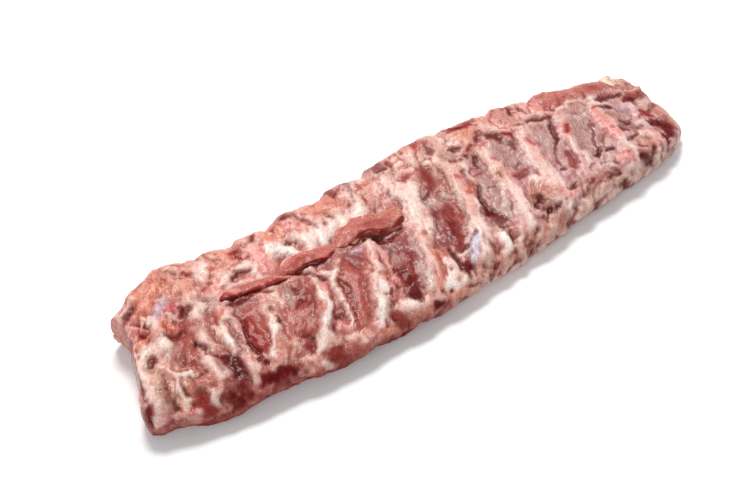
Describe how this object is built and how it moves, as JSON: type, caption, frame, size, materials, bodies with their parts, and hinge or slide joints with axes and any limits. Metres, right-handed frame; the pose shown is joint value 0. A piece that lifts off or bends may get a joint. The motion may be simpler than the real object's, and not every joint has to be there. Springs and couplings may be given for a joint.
{
  "type": "rack of ribs",
  "caption": "Slab of raw pork loin ribs lying bone side up, cut square at one end and rounded at the other, with the rib heads sawn off along the chine.",
  "frame": {"origin": "middle of the rack's underside, at the centre of its length and of its width", "axes": "+X along the rack from its squarely cut end to its rounded end, +Y from the rib tips to the sawn chine, +Z from the underside to the bone side"},
  "size_m": [0.5, 0.1399, 0.0352],
  "materials": {
    "meat": "wet, marbled raw meat and fat",
    "bone": "sawn, spongy raw bone"
  },
  "bodies": {
    "root": {"meat": "meat", "rib_01": "bone", "rib_02": "bone", "rib_03": "bone", "rib_04": "bone", "rib_05": "bone", "rib_06": "bone", "rib_07": "bone", "rib_08": "bone", "rib_09": "bone", "rib_10": "bone", "rib_11": "bone", "rib_12": "bone", "rib_13": "bone"}
  },
  "joints": []
}
